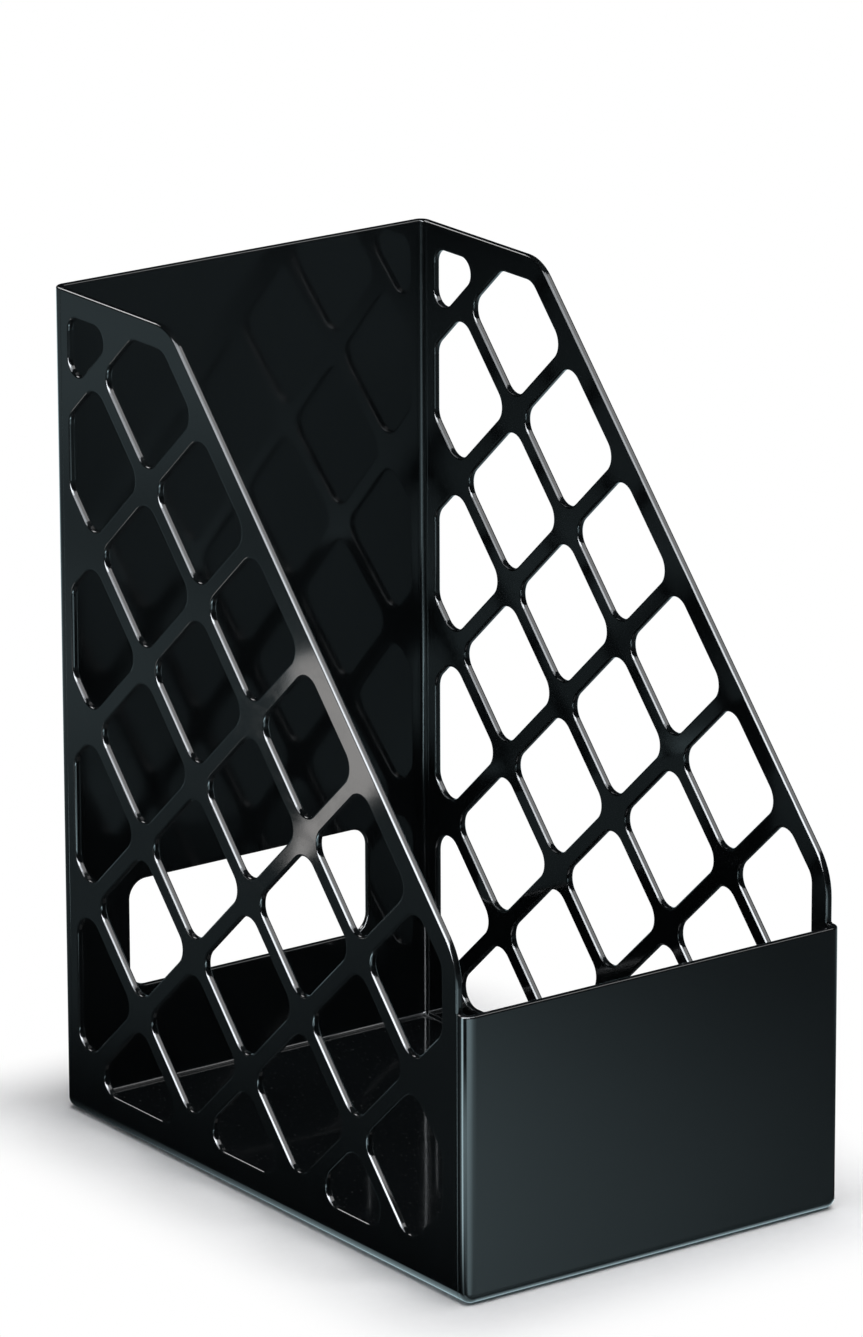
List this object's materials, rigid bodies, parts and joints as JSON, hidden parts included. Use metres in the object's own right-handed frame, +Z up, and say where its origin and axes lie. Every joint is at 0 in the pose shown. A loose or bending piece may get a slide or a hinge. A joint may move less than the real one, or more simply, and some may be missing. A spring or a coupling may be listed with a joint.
{
  "type": "magazine file holder",
  "caption": "Upright open-top file holder with lattice sides that slope down to a low solid front, and a hand hole in the back.",
  "frame": {"origin": "on the floor under the middle of the holder", "axes": "+Z up, +Y towards the tall back panel, +X to the right seen from the low front"},
  "size_m": [0.159, 0.244, 0.303],
  "materials": {
    "gloss_black": "glossy moulded black polystyrene"
  },
  "bodies": {
    "root": {"left_side_panel": "gloss_black", "right_side_panel": "gloss_black", "back_panel": "gloss_black", "base_panel": "gloss_black", "front_panel": "gloss_black"}
  },
  "joints": []
}
